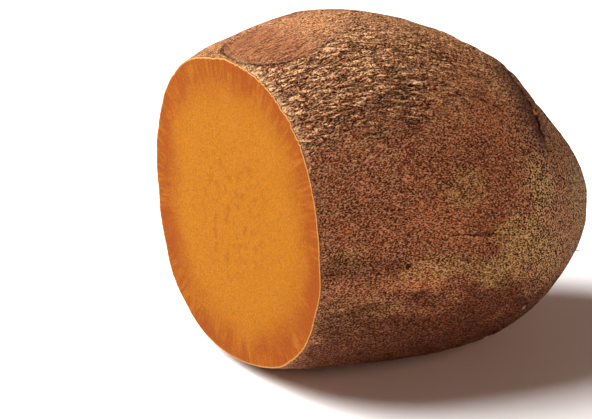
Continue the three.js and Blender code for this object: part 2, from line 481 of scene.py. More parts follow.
# %% [markdown]
# ## The place where a flake of skin came off
#
# Beside the cut, an oval of outer skin has come away. Inside it the skin is smooth, and a thin
# dark crack runs along its edge and fades out towards the tail. The distance to the edge is
# kept as a value at each point: a material can then draw a thin line where it is near 0,
# much sharper than the grid itself. The crack lies on the upper lip, where it can be seen.

# %% The flake's edge
FLAKE_MIDDLE, FLAKE_HALF_SIZE, FLAKE_STEP = (8, 87), (7.5, 20), 0.25
CRACK_OFFSET, CRACK_DEPTH, CRACK_HALF_WIDTH = 0.35, 0.25, 0.8
CRACK_HEADING, CRACK_FADE = 145, (105, 65)
FLAKE_WAVE, FLAKE_RIM, FLAKE_FADE = 0.6, (0.4, -0.4), (8, -1)

flake_onward, flake_sideways = steps_on_skin(FLAKE_MIDDLE, along, around)
far_end = FLAKE_MIDDLE[0] + FLAKE_HALF_SIZE[0]
far_side = FLAKE_MIDDLE[1] + FLAKE_HALF_SIZE[1]
flake_length = steps_on_skin(FLAKE_MIDDLE, far_end, around)[0].max()
flake_width = steps_on_skin(FLAKE_MIDDLE, FLAKE_MIDDLE[0], far_side)[1]
share_onward, share_sideways = flake_onward / flake_length, flake_sideways / flake_width
flake_oval = np.hypot(share_onward, share_sideways)
flake_size = np.hypot(flake_onward, flake_sideways) / np.maximum(flake_oval, 0.01)
flake_distance = (flake_oval - 1) * flake_size + FLAKE_WAVE * skin_noise(5, 1, 61, layers=4)
flake_heading = np.degrees(np.arctan2(share_sideways, share_onward))
flake_edge = ramp(np.abs(turn(CRACK_HEADING, flake_heading)), *CRACK_FADE)
inside_flake = ramp(flake_distance, *FLAKE_RIM) * ramp(flake_onward, *FLAKE_FADE)
print("the flake is", (2 * flake_length).round(1), "by", (2 * flake_width).round(1), "mm")

# %% [markdown]
# ## Small marks
#
# Digging and washing leave small marks: pale flecks where a crumb of skin is gone, dark pits,
# a torn place that shows the flesh, thin scratches, and the crosswise slits of old root scars.
# Each is kept as a distance, so that its outline can be drawn crisply. A spot is a place along
# and around and a radius in millimetres, and a scratch runs from one place to another. The
# scars on one side have healed smoothly, so they get no slits.

# %% Small marks
PALE_MARKS = [
    (17.1, 125.6, 0.75), (17.9, 128.7, 0.9), (18.7, 129.6, 0.65),
    (36, 213, 0.8), (30, 20, 0.7), (52, 318, 0.8), (14, 300, 0.6),
]
DARK_MARKS = [
    (17.2, 129.6, 0.75), (19.2, 130.8, 0.6), (12, 186.5, 0.8), (41, 176, 0.6),
    (26, 350, 0.8), (48, 40, 0.7), (9, 224, 0.7), (70, 200, 0.6), (62, 96, 0.6), (38, 262, 0.8),
]
TORN_MARKS = [(43, 133.5, 0.8), (30, 318, 0.6)]
SCRATCHES = [
    ((18, 178), (30, 180)), ((27, 133), (33, 137)),
    ((22, 12), (34, 18)), ((44, 340), (50, 322)), ((12, 290), (22, 284)), ((60, 60), (68, 84)),
]
SLIT_SPREAD, SIDE_WITHOUT_SLITS = 7, (80, 205)
MARK_WAVE, FAR = 0.25, 9.0


def depth_in_spots(places):
    """How far inside the nearest round spot, in millimetres: its radius minus the distance."""
    deepest = np.full_like(along, -FAR)
    for middle_along, middle_around, radius in places:
        onward, sideways = steps_on_skin((middle_along, middle_around), along, around)
        deepest = np.maximum(deepest, radius - np.hypot(onward, sideways))
    return deepest + MARK_WAVE * skin_noise(1.1, 1, 141, layers=2)


def distance_to_lines(segments):
    """Millimetres to the nearest of some straight lines drawn on the skin."""
    nearest = np.full_like(along, FAR)
    for start, end in segments:
        onward, sideways = steps_on_skin(start, along, around)
        run, rise = steps_on_skin(start, np.array(float(end[0])), np.array(float(end[1])))
        share = np.clip((onward * run + sideways * rise) / (run**2 + rise**2), 0, 1)
        nearest = np.minimum(nearest, np.hypot(onward - share * run, sideways - share * rise))
    return nearest + 2 * MARK_WAVE * skin_noise(2.4, 1, 151, layers=3)


first_bare, last_bare = SIDE_WITHOUT_SLITS
slits = [
    ((a, r - SLIT_SPREAD), (a + 1, r + SLIT_SPREAD))
    for a, r in scar_places()
    if not first_bare < r < last_bare
]
pale_marks, dark_marks = depth_in_spots(PALE_MARKS), depth_in_spots(DARK_MARKS)
torn_marks = depth_in_spots(TORN_MARKS)
scratch_distance = distance_to_lines(SCRATCHES)
slit_distance = distance_to_lines(slits)
print(len(slits), "slits and", len(SCRATCHES), "scratches")

# %% [markdown]
# ## Wrinkles
#
# Real skin wrinkles into soft lumps with thin, deep gaps between them. A noise that passes
# through 0 makes such gaps: the line where it is 0 wanders and closes on itself. Where the
# noise is near 0 the skin is low, elsewhere it is high. One such noise is stretched
# lengthwise, and a second one, squarer, adds the breaks across. Fine wrinkles cover the
# rest, and slow rolls run under all of them.

# %% Wrinkles
COARSE_SIZE, COARSE_STRETCH, COARSE_LEAN = 0.85, 3.8, -0.25
BREAK_SIZE, BREAK_STRETCH = 2.4, 0.9
FINE_SIZE, FINE_STRETCH = 1.2, 2.2
ROLL_SIZE, ROLL_STRETCH = 6, 3
COARSE_HEIGHT, FINE_HEIGHT, ROLL_HEIGHT = 0.56, 0.16, 0.22
GAP = 0.16


def lumps(value):
    """0 in the gap where the value is 0 and 1 away from it: v squared over v squared plus the
    gap's width squared."""
    return value**2 / (value**2 + GAP**2)


furrow = skin_noise(COARSE_SIZE, COARSE_STRETCH, 71, layers=2, lean=COARSE_LEAN, warp=0.35)
breaks = skin_noise(BREAK_SIZE, BREAK_STRETCH, 81, layers=2, warp=0.3)
fine = skin_noise(FINE_SIZE, FINE_STRETCH, 91, layers=2, warp=0.3)
rolls = skin_noise(ROLL_SIZE, ROLL_STRETCH, 101, layers=2, warp=0.4)

coarse_height = COARSE_HEIGHT * wrinkled * lumps(furrow) * (0.55 + 0.45 * lumps(breaks))
fine_height = FINE_HEIGHT * (1 - 0.6 * wrinkled) * lumps(fine)
roll_height = ROLL_HEIGHT * rolls
print("coarse wrinkles are up to", coarse_height.max().round(2), "mm high")

# %% [markdown]
# ## A fold, and the frayed edge
#
# A little before the crease, the skin has folded over itself: a ragged groove, painted dark as
# its shade, with a torn spot in it. Its distance is that from one angle along, made to wander
# by noise. Next to the cut the knife has frayed the skin, most of all on top.

# %% A fold, and the frayed edge
FOLD_ALONG, FOLD_MIDDLE, FOLD_FADE, FOLD_WANDER = 42.5, 130, (24, 14), 1.1
FRINGE_LENGTH, FRINGE_MIDDLE, FRINGE_FADE = 2.4, 113, (34, 12)
LINE_WANDER = 0.5

crease_across, crease_share = crease_place(along, around)
wandering = LINE_WANDER * skin_noise(2.5, 1, 111, layers=2)
crease_across = crease_across + wandering
fold_across = steps_on_skin((FOLD_ALONG, around), along, around)[0] + wandering
fold_across += FOLD_WANDER * skin_noise(6, 1, 161, layers=3)
fold_share = ramp(np.abs(turn(FOLD_MIDDLE, around)), *FOLD_FADE)
fringe = ramp(LENGTH * np.sin(np.radians(along)), FRINGE_LENGTH, 0)
fringe *= 0.15 + 0.85 * ramp(np.abs(turn(FRINGE_MIDDLE, around)), *FRINGE_FADE)
ragged = skin_noise(0.9, 1.6, 121)
print("the fold is there on", f"{100 * (fold_share > 0.5).mean():.0f}% of the way around")

# %% [markdown]
# ## The fine relief on the mesh
#
# All fine forms are added along the normals of the smooth egg. They die away under the belly,
# where the root lies, near the tip and inside the flake.

# %% The fine relief on the mesh
CREASE_EXTRA, CREASE_HALF_WIDTH = 0.45, 0.9
FOLD_DEPTH, FOLD_HALF_WIDTH = 0.5, 1.1
PIT_DEPTH, TORN_DEPTH, CRUMB_HEIGHT, MARK_EDGE = 0.3, 0.25, 0.15, (-0.3, 0.4)
SLIT_DEPTH, SLIT_EDGE = 0.35, (0.9, 0.1)
FRINGE_HEIGHT = 0.3
BELLY_EDGE, TIP_EDGE = (12, 45), (89.5, 78)

off_belly = ramp(np.abs(turn(BELLY, around)), *BELLY_EDGE)
off_tip = ramp(along, *TIP_EDGE)
calm = (1 - 0.85 * inside_flake) * (0.25 + 0.75 * off_belly) * (0.3 + 0.7 * off_tip)
fine_relief = calm * (coarse_height + fine_height + roll_height)
fine_relief -= FLAKE_STEP * inside_flake
fine_relief -= CRACK_DEPTH * flake_edge * bump((flake_distance - CRACK_OFFSET) / CRACK_HALF_WIDTH)
fine_relief -= CREASE_EXTRA * crease_share * bump(crease_across / CREASE_HALF_WIDTH)
fine_relief -= FOLD_DEPTH * fold_share * bump(fold_across / FOLD_HALF_WIDTH)
fine_relief -= PIT_DEPTH * ramp(dark_marks, *MARK_EDGE) + TORN_DEPTH * ramp(torn_marks, *MARK_EDGE)
fine_relief -= SLIT_DEPTH * ramp(slit_distance, *SLIT_EDGE)
fine_relief += CRUMB_HEIGHT * ramp(pale_marks, *MARK_EDGE)
fine_relief += FRINGE_HEIGHT * fringe * ragged


def normals_of(points):
    """Unit normals of a closed grid: the cross product of the steps along both directions."""
    onward = np.gradient(points, axis=0)
    sideways = np.roll(points, -1, axis=1) - np.roll(points, 1, axis=1)
    cross = np.cross(sideways, onward)
    return cross / np.maximum(np.linalg.norm(cross, axis=-1, keepdims=True), 1e-9)


outward = normals_of(base_points)
points = base_points + fine_relief[..., None] * outward
points[..., 0] = np.maximum(points[..., 0], EDGE_ROUNDING)
points[0, :, 0] = EDGE_ROUNDING
points[..., 2] = np.maximum(points[..., 2], 0)
tip_point = skin_points(np.array([90.0]), np.array([0.0]))
print("fine relief from", fine_relief.min().round(2), "to", fine_relief.max().round(2), "mm")

# %% [markdown]
# ## The cut face
#
# A knife leaves a flat face with a crisp, slightly rounded edge. Rings shrink from the first
# ring of skin to the middle. They are close together near the edge, where the skin's thin
# rim shows, and the distance from the rim is kept for the material.

# %% The cut face
INSETS = [0.12, 0.4, 0.8, 1.4, 2.4, 4, 6.5, 10, 15, 21, 28]
KNIFE_WAVE = 0.1
FACE_DIP = 0.08

centre = np.array([0, CENTRE_Y[0], CENTRE_Z[0]], float)
rim = points[0]
to_centre = centre - rim
to_centre[:, 0] = 0
radius = np.linalg.norm(to_centre, axis=1, keepdims=True)
face_rings = np.stack([rim + to_centre / radius * inset for inset in INSETS])
face_waves = noise(face_rings / np.array([1, 11, 7]), 131) * KNIFE_WAVE
inset_column = np.array(INSETS)[:, None]
face_rings[..., 0] = (face_waves + FACE_DIP) * ramp(inset_column, 0.1, 6)
face_centre = centre + np.array([FACE_DIP, 0, 0])
print("the cut face has", len(INSETS), "rings, and is", 2 * radius.mean().round(1), "mm across")

# %% [markdown]
# ## One closed mesh
#
# Skin, tip, rounded edge and cut face share their points, so the piece is closed and could be
# printed. The skin's faces and the face's faces take different material slots.

# %% One closed mesh


def grid_faces(first, rows, columns):
    """Quads between neighbouring rings of a grid whose columns close on themselves."""
    i, j = np.meshgrid(np.arange(rows - 1), np.arange(columns), indexing="ij")
    k = (j + 1) % columns
    quads = [i * columns + j, i * columns + k, (i + 1) * columns + k, (i + 1) * columns + j]
    return first + np.stack(quads, axis=-1).reshape(-1, 4)


def fan_faces(ring, apex, columns):
    """Triangles from one ring of points to a single point."""
    j = np.arange(columns)
    return np.stack([ring + j, ring + (j + 1) % columns, np.full(columns, apex)], axis=-1)


skin_total = RINGS * COLUMNS
tip_index = skin_total
face_first = tip_index + 1
face_total = len(INSETS) * COLUMNS
centre_index = face_first + face_total
all_points = np.concatenate(
    [points.reshape(-1, 3), tip_point, face_rings.reshape(-1, 3), face_centre[None]]
)
skin_quads = grid_faces(0, RINGS, COLUMNS)
tip_fan = fan_faces(skin_total - COLUMNS, tip_index, COLUMNS)
j = np.arange(COLUMNS)
k = (j + 1) % COLUMNS
edge_quads = np.stack([k, j, face_first + j, face_first + k], axis=-1)
face_quads = grid_faces(face_first, len(INSETS), COLUMNS)[:, ::-1]
face_fan = fan_faces(centre_index - COLUMNS, centre_index, COLUMNS)[:, ::-1]
faces = [group.tolist() for group in (skin_quads, tip_fan, edge_quads, face_quads, face_fan)]

mesh = bpy.data.meshes.new("root_skin_and_flesh")
mesh.from_pydata((all_points + step_to_frame) * MM, [], sum(faces, []))
mesh.polygons.foreach_set("use_smooth", np.ones(len(mesh.polygons), bool))
skin_face_count = len(skin_quads) + len(tip_fan)
slots = np.zeros(len(mesh.polygons), np.int32)
slots[skin_face_count:] = 1
mesh.polygons.foreach_set("material_index", slots)
root = bpy.data.objects.new("root_skin_and_flesh", mesh)
bpy.context.scene.collection.objects.link(root)
quad_count = len(skin_quads) + len(edge_quads) + len(face_quads)
triangles = 2 * quad_count + len(tip_fan) + len(face_fan)
print("the root has", len(all_points), "points and", triangles, "triangles")

# %% [markdown]
# ## Values kept on the points
#
# The materials need to know where they are: in a patch, on a crest, near a line. Each point
# keeps those numbers under plain names, and the renderer blends them across a face. It also
# keeps its coordinates in the skin, so that fine grain can run lengthwise too.

# %% Values kept on the points
SLIT_THINNING, CREASE_LINE_END = 0.15, (4, -10)


def keep(name, skin_values, face_values=0.0):
    """Stores one number for each point: the skin's grid, and the rings of the cut face. The tip
    gets 0."""
    values = np.zeros(len(all_points), np.float32)
    values[:skin_total] = np.ravel(skin_values)
    values[face_first:] = face_values
    mesh.attributes.new(name, "FLOAT", "POINT").data.foreach_set("value", values)


skin_values = {
    **zones,
    "wrinkled": wrinkled * calm,
    "furrow": furrow,
    "breaks": breaks,
    "fine": fine,
    "flake_distance": flake_distance,
    "flake_edge": flake_edge,
    "inside_flake": inside_flake,
    "crease_across": crease_across,
    "crease_share": crease_share * ramp(turn(CREASE_POINTS[-1][1], around), *CREASE_LINE_END),
    "fold_across": fold_across,
    "fold_share": fold_share,
    "fringe": fringe,
    "pale_marks": pale_marks,
    "dark_marks": dark_marks,
    "torn_marks": torn_marks,
    "scratch_distance": np.minimum(scratch_distance, slit_distance - SLIT_THINNING),
}
for name, values in skin_values.items():
    keep(name, values)
keep("from_rim", 0 * along, np.append(np.repeat(INSETS, COLUMNS), radius.mean()))

in_skin = np.zeros((len(all_points), 3), np.float32)
in_skin[:skin_total] = np.stack([distance_on_skin, section_y, section_z], axis=-1).reshape(-1, 3)
in_skin[tip_index] = (walked[-1], 0, 0)
mesh.attributes.new("in_skin", "FLOAT_VECTOR", "POINT").data.foreach_set("vector", in_skin.ravel())
print("kept", [a.name for a in mesh.attributes if a.data_type == "FLOAT"])

# %% [markdown]
# ## An unwrapping
#
# The skin unrolls like a label: around the root for u, and the distance from the cut for v.
# The cut face is a disc beside it. Nothing is drawn with these coordinates here, but they let
# the finish be baked into a picture without stretching. A face that crosses the seam gets
# corners beyond one turn, so that it isn't smeared over the whole label.

# %% An unwrapping
SKIN_HEIGHT_SHARE, MARGIN = 0.62, 0.005
DISC_CENTRE, DISC_RADIUS = (0.2, 0.81), 0.17

loops = np.zeros(len(mesh.loops), np.int32)
mesh.loops.foreach_get("vertex_index", loops)
loop_totals = np.zeros(len(mesh.polygons), np.int32)
mesh.polygons.foreach_get("loop_total", loop_totals)
loop_face = np.repeat(np.arange(len(mesh.polygons)), loop_totals)
column = np.where(loops < skin_total, loops % COLUMNS, 0)
turns = column / COLUMNS
lowest = np.full(len(mesh.polygons), 2.0)
highest = np.full(len(mesh.polygons), -1.0)
on_skin = loop_face < skin_face_count
not_tip = loops != tip_index
np.minimum.at(lowest, loop_face[not_tip], turns[not_tip])
np.maximum.at(highest, loop_face[not_tip], turns[not_tip])
wraps = highest - lowest > 0.5
turns = np.where(wraps[loop_face] & (turns < 0.5), turns + 1, turns)
lowest = np.where(wraps, highest, lowest)
turns = np.where(not_tip, turns, lowest[loop_face] + 0.5 / COLUMNS)
walked_at_point = np.full(len(all_points), walked[-1])
walked_at_point[:skin_total] = distance_on_skin.ravel()
skin_u = MARGIN + (1 - 3 * MARGIN) * turns / (1 + 1 / COLUMNS)
skin_v = MARGIN + (SKIN_HEIGHT_SHARE - 2 * MARGIN) * walked_at_point[loops] / walked[-1]
flat = (all_points[:, 1:] - centre[1:]) / radius.max()
disc_u = DISC_CENTRE[0] + DISC_RADIUS * flat[loops, 0]
disc_v = DISC_CENTRE[1] + DISC_RADIUS * flat[loops, 1]
uv = np.stack([np.where(on_skin, skin_u, disc_u), np.where(on_skin, skin_v, disc_v)], axis=-1)
mesh.uv_layers.new(name="OFBake").data.foreach_set("uv", uv.astype(np.float32).ravel())
print("unwrapped", len(uv), "corners, up to u and v of", uv.max(axis=0).round(3))

# %% [markdown]
# ## Root hairs
#
# A few thin rootlets are left on the skin after washing. Each is a tapering, curved tube that
# starts inside the skin, with a round of six points and a closed tip. A row of the list is a
# place along and around, then the length and the thickness in millimetres.

# %% Root hairs
HAIRS = [
    (60, 209, 2.6, 0.19), (33, 24, 3.2, 0.22), (54, 332, 2.4, 0.18), (12, 24, 2.2, 0.2),
    (46, 92, 1.6, 0.16), (75, 300, 3.4, 0.22), (20, 312, 2.0, 0.18),
]
HAIR_STEPS, HAIR_SIDES, HAIR_ROOT = 8, 6, 0.8
HAIR_BEND, HAIR_TAPER, HAIR_HEADING = 0.6, 0.6, 57


def hair(start_along, start_around, length, thickness, seed):
    """A tube about a curve: outwards along the skin's normal at first, then bending to one side
    with the square of the distance, with a radius that shrinks to a point."""
    near = np.array([[start_along, start_along + 0.5]])
    start = skin_points(near, np.full((1, 2), float(start_around)))[0]
    beside = skin_points(np.array([float(start_along)]), np.array([start_around + 1.0]))[0]
    lengthwise = (start[1] - start[0]) / np.linalg.norm(start[1] - start[0])
    sideways = (beside - start[0]) / np.linalg.norm(beside - start[0])
    normal = np.cross(sideways, lengthwise)
    heading = math.radians(HAIR_HEADING * seed)
    bend = math.cos(heading) * lengthwise + math.sin(heading) * sideways
    t = np.linspace(0, 1, HAIR_STEPS)[:, None]
    line = start[0] + normal * (length * t - HAIR_ROOT) + bend * (HAIR_BEND * length * t**2)
    sides = np.arange(HAIR_SIDES) * 2 * math.pi / HAIR_SIDES
    circle = np.cos(sides)[:, None] * lengthwise + np.sin(sides)[:, None] * sideways
    width = thickness * (1.05 - t) ** HAIR_TAPER
    tube = line[:, None] + width[..., None] * circle[None]
    return np.concatenate([tube.reshape(-1, 3), line[:1], line[-1:]])


hair_points = []
hair_faces = []
for seed, values in enumerate(HAIRS):
    first = seed * (HAIR_STEPS * HAIR_SIDES + 2)
    hair_points.append(hair(*values, seed))
    foot, end = first + HAIR_STEPS * HAIR_SIDES, first + HAIR_STEPS * HAIR_SIDES + 1
    hair_faces += grid_faces(first, HAIR_STEPS, HAIR_SIDES)[:, ::-1].tolist()
    hair_faces += fan_faces(first, foot, HAIR_SIDES).tolist()
    hair_faces += fan_faces(foot - HAIR_SIDES, end, HAIR_SIDES)[:, ::-1].tolist()
hair_mesh = bpy.data.meshes.new("root_hairs")
hair_mesh.from_pydata((np.concatenate(hair_points) + step_to_frame) * MM, [], hair_faces)
hair_mesh.polygons.foreach_set("use_smooth", np.ones(len(hair_faces), bool))
hairs = bpy.data.objects.new("root_hairs", hair_mesh)
bpy.context.scene.collection.objects.link(hairs)
print("made", len(HAIRS), "root hairs with", len(hair_faces), "faces")

# %% [markdown]
# ## Writing materials as sums
#
# A material is a graph of nodes. Written out node by node it is hard to read, so a small
# class stands for one output and adds a Math node for each sum or product. The reflected
# forms, such as the one for a number minus a signal, let 1 - mask work as well.

# %% One output of a node


class Signal:
    """One output of a node. Arithmetic with it adds Math nodes."""

    def __init__(self, material, socket):
        self.material = material
        self.socket = socket

    def math(self, operation, *values):
        """One Math node on some values, of which any may be a plain number."""
        inputs = dict(enumerate(values))
        return self.material.node("ShaderNodeMath", {"operation": operation}, inputs)

    def __add__(self, other):
        return self.math("ADD", self, other)

    def __sub__(self, other):
        return self.math("SUBTRACT", self, other)

    def __rsub__(self, other):
        return self.math("SUBTRACT", other, self)

    def __mul__(self, other):
        return self.math("MULTIPLY", self, other)

    def __rtruediv__(self, other):
        return self.math("DIVIDE", other, self)

    def __abs__(self):
        return self.math("ABSOLUTE", self)

    def larger(self, other):
        """The larger of two values."""
        return self.math("MAXIMUM", self, other)

    __radd__ = __add__
    __rmul__ = __mul__


print("a Signal turns sums, differences, products and quotients into Math nodes")

# %% [markdown]
# ## One material
#
# Every other node comes from one method, which sets the node's settings first and then its
# inputs, because some settings change which inputs there are. The methods after it are short
# names for the few nodes that these finishes need. All sizes are in millimetres.

# %% One material


class Material:
    """A node material with one Principled shader."""

    def __init__(self, name):
        self.data = bpy.data.materials.new(name)
        self.data.use_nodes = True
        self.nodes = self.data.node_tree.nodes
        self.links = self.data.node_tree.links
        self.shader = next(n for n in self.nodes if n.type == "BSDF_PRINCIPLED")

    def node(self, kind, settings=None, inputs=None, output=0):
        """Adds a node: its settings first, then the values or links of its sockets."""
        made = self.nodes.new(kind)
        for name, value in (settings or {}).items():
            setattr(made, name, value)
        for name, value in (inputs or {}).items():
            self.put(made.inputs[name], value)
        return Signal(self, made.outputs[output])

    def put(self, socket, value):
        """Links a signal to a socket, or writes a plain value into it."""
        if isinstance(value, Signal):
            self.links.new(value.socket, socket)
        else:
            socket.default_value = value

    def finish(self, **values):
        """Puts values into the shader's sockets, named with a low line for each space."""
        for name, value in values.items():
            self.put(self.shader.inputs[name.replace("_", " ")], value)

    def kept(self, name):
        """A value kept on the points."""
        return self.node("ShaderNodeAttribute", {"attribute_name": name}, output="Fac")

    def scaled(self, where, scale):
        """Coordinates times a scale for each axis."""
        inputs = {0: where, "Scale": scale}
        return self.node("ShaderNodeMapping", {"vector_type": "POINT"}, inputs)

    def place(self, squeeze=(1, 1, 1)):
        """Object coordinates in millimetres; a squeeze below 1 makes forms longer that way."""
        where = self.node("ShaderNodeTexCoord", output="Object")
        return self.scaled(where, tuple(s / MM for s in squeeze))

    def skin_place(self, squeeze=(1, 1, 1)):
        """The coordinates kept in the skin, in millimetres, squeezed in the same way."""
        where = self.node("ShaderNodeAttribute", {"attribute_name": "in_skin"}, output="Vector")
        return self.scaled(where, squeeze)

    def granules(self, size, place):
        """Grains of that size in millimetres: a random tone from 0 to 1 for each grain, and the
        height of its dome, 1 in the middle."""
        distance = self.node("ShaderNodeTexVoronoi", None, {"Vector": place, "Scale": 1 / size})
        colours = Signal(self, distance.socket.node.outputs["Color"])
        return self.node("ShaderNodeSeparateXYZ", None, {0: colours}), 1 - distance

    def noise(self, size, place, detail=2.0, roughness=0.5):
        """Noise from about 0 to 1 with forms of that size in millimetres."""
        inputs = {"Vector": place, "Scale": 1 / size, "Detail": detail, "Roughness": roughness}
        return self.node("ShaderNodeTexNoise", None, inputs)

    def ramp(self, value, low, high):
        """A smooth S from 0 at low to 1 at high. Low may be the larger one."""
        inputs = {"Value": value, "From Min": low, "From Max": high}
        return self.node("ShaderNodeMapRange", {"interpolation_type": "SMOOTHSTEP"}, inputs)

    def line(self, distance, half_width):
        """1 up to four tenths of the half width from 0, then falling to 0 at the half width."""
        return self.ramp(abs(distance), half_width, 0.4 * half_width)

    def mix(self, share, first, second):
        """Colours mixed by a share, from 0 for the first to 1 for the second."""
        inputs = {0: share, 6: first, 7: second}
        return self.node("ShaderNodeMix", {"data_type": "RGBA"}, inputs, output=2)

    def shade(self, colour, amount):
        """A colour made lighter or darker: times an amount that is 1 for no change."""
        grey = self.node("ShaderNodeCombineXYZ", None, {0: amount, 1: amount, 2: amount})
        inputs = {0: colour, 1: grey}
        return self.node("ShaderNodeVectorMath", {"operation": "MULTIPLY"}, inputs)

    def bump(self, height):
        """A normal from a height in millimetres."""
        return self.node("ShaderNodeBump", None, {"Height": height, "Distance": MM})


print("a Material has", [name for name in vars(Material) if not name.startswith("_")])

# %% [markdown]
# ## Colours as a screen shows them
#
# Colours are easiest to judge as a screen shows them, from 0 to 255. The shader counts light
# instead, so each number is first put through the screen's curve.

# %% Colours as a screen shows them


def colour(red, green, blue):
    """The shader's linear numbers for a colour on a screen: a short straight part near black,
    then a power of 2.4."""
    shares = [c / 255 for c in (red, green, blue)]
    linear = [s / 12.92 if s <= 0.04045 else ((s + 0.055) / 1.055) ** 2.4 for s in shares]
    return (*linear, 1)


print("a screen's 128 is", round(colour(128, 128, 128)[0], 3), "in the shader")

# %% [markdown]
# ## The skin's colours, zone by zone
#
# Thin, dry skin has many browns: red-brown where it is whole, orange-brown and tan in patches,
# olive where it is bruised or dusted with soil, and dark in some spots. Low on the front and
# towards the belly the dark zone is painted shade. A painted picture could hold all these
# browns, but it would have to be drawn first. Here each line takes the colour so far and mixes
# one more over it, where a zone kept on the points says so and noise lets it.

# %% The skin's colours, zone by zone
BROWN = colour(162, 90, 55)
DEEP_BROWN = colour(84, 35, 21)
TAN = colour(180, 123, 77)
OLIVE = colour(178, 144, 84)
ORANGE_BROWN = colour(194, 116, 67)
FLAKE_BROWN = colour(112, 62, 34)
GRAIN_SIZE, GRANULE_SIZE, BLOTCH_SIZE = 0.75, 0.27, 4.5

skin = Material("sweet_potato_skin")
kept = {name: skin.kept(name) for name in skin_values}
olive, dark, inside = kept["olive"], kept["dark"], kept["inside_flake"]
grain = skin.noise(GRAIN_SIZE, skin.skin_place((0.5, 1, 1)), detail=3, roughness=0.7)
tone, dome = skin.granules(GRANULE_SIZE, skin.place((0.8, 1, 1)))
blotches = skin.noise(BLOTCH_SIZE, skin.place(), detail=4, roughness=0.6)

body = skin.mix(skin.ramp(blotches, 0.35, 0.68), DEEP_BROWN, BROWN)
body = skin.mix(0.55, body, BROWN)
body = skin.mix(kept["warm"] * 0.75, body, ORANGE_BROWN)
tan_share = kept["tan"] * (0.4 + 0.45 * skin.ramp(grain, 0.4, 0.62))
body = skin.mix(tan_share, body, TAN)
olive_share = olive * skin.ramp(blotches + 0.3 * grain + 0.25 * tone, 0.6, 0.85)
body = skin.mix(olive_share * 0.8, body, OLIVE)
# Darker skin in spots, and painted shade low on the front towards the belly.
body = skin.mix(dark * 0.8, body, DEEP_BROWN)
body = skin.mix(inside * 0.62, body, FLAKE_BROWN)
print("with its zones, the skin has", len(skin.nodes), "nodes")

# %% [markdown]
# ## Gaps and crests
#
# Each gap between two wrinkles holds soil and is painted dark for its shade, and each crest
# is painted pale as a highlight. The mesh and the material read the same noise, so colour and
# relief can't drift apart. The material works out the gap's width again, because it can draw
# it finer than the mesh can.

# %% Gaps and crests
# Near-black for soil and dark marks, and for the painted shade in gaps, pits and grooves.
SOIL_AND_SHADE_BLACK = colour(34, 8, 2)
FURROW_GAP, BREAK_GAP, FINE_GAP = 0.125, 0.07, 0.12


def gap_at(value, width):
    """1 in the gap where the value is 0, falling to 0: the width squared over itself plus the
    value squared."""
    return width**2 / (value * value + width**2)


on_wrinkles, furrow_value = kept["wrinkled"], kept["furrow"]
across_gap = 0.6 * gap_at(kept["breaks"], BREAK_GAP)
coarse_gap = 1 - (1 - gap_at(furrow_value, FURROW_GAP)) * (1 - across_gap)
fine_gap = gap_at(kept["fine"], FINE_GAP)
# Painted highlight: the crests of the coarse wrinkles are mixed towards tan.
crest_highlight = on_wrinkles * skin.ramp(furrow_value * furrow_value, 0.04, 0.3)
body = skin.mix(crest_highlight * 0.45, body, TAN)
# Painted shade, with soil: the coarse and the fine gaps are mixed towards near-black.
fine_gap_shade = (1 - on_wrinkles) * (1 - 0.8 * inside) * fine_gap * 0.25
body = skin.mix(on_wrinkles * coarse_gap * 0.9 + fine_gap_shade, body, SOIL_AND_SHADE_BLACK)
print("with its gaps, the skin has", len(skin.nodes), "nodes")

# %% [markdown]
# ## Grain, pits and flecks
#
# Close up, dry skin is like fine sand, drawn out a little lengthwise: its low places are dark
# pits, partly dark specks and partly painted shade, and its high places pale flecks, partly
# pale specks and partly painted highlights. Small grains of a random tone lie between them. At
# the tail the sand is coarser, and the smooth skin inside the flake has fine streaks instead.

# %% Grain, pits and flecks
STREAK_BROWN = colour(84, 38, 22)
FLECK_AND_GLINT_TAN = colour(228, 186, 140)
FLECK_AND_GLINT_OLIVE = colour(228, 198, 132)
SAND_SIZE, TAIL_SAND_SIZE, STREAK_SIZE = 0.3, 0.4, 0.7
TAIL_START, TAIL_END = 38, 66

grit = 1 - 0.6 * inside - 0.1 * on_wrinkles
from_cut = skin.node("ShaderNodeSeparateXYZ", None, {0: skin.skin_place()})
tail = skin.ramp(from_cut, TAIL_START, TAIL_END)
streaks = skin.noise(STREAK_SIZE, skin.skin_place((0.22, 1, 1)), detail=2)
body = skin.mix(inside * skin.ramp(streaks, 0.54, 0.42) * 0.8, body, STREAK_BROWN)
body = skin.shade(body, 0.66 + 0.34 * skin.ramp(grain, 0.36, 0.66) + grit * (1.1 * tone - 0.55))

sand_place = skin.skin_place((0.55, 1, 1))
sand = skin.noise(SAND_SIZE, sand_place, detail=2, roughness=0.65)
tail_sand = skin.noise(TAIL_SAND_SIZE, sand_place, detail=2, roughness=0.65)
sand = sand + tail * (tail_sand - sand)
# Painted shade in the sand's low places, together with dark specks of the skin.
specks_and_pit_shade = grit * (1 - 0.2 * on_wrinkles) * skin.ramp(sand - 0.03 * tail, 0.485, 0.41)
body = skin.mix(specks_and_pit_shade * (0.78 + 0.12 * olive + 0.1 * tail), body, SOIL_AND_SHADE_BLACK)
# Painted highlights on the sand's high places, together with pale specks of the skin.
flecks_and_glints = grit * (1 - 0.65 * dark) * skin.ramp(sand + 0.03 * tail, 0.52, 0.595)
fleck_and_glint_colour = skin.mix(olive * 0.7, FLECK_AND_GLINT_TAN, FLECK_AND_GLINT_OLIVE)
body = skin.mix(flecks_and_glints * (0.45 + 0.14 * olive + 0.15 * tail), body, fleck_and_glint_colour)
# Painted highlights on the crests of the coarse wrinkles.
body = skin.mix(crest_highlight * skin.ramp(sand, 0.45, 0.56) * 0.68, body, FLECK_AND_GLINT_TAN)
print("with its grain, the skin has", len(skin.nodes), "nodes")

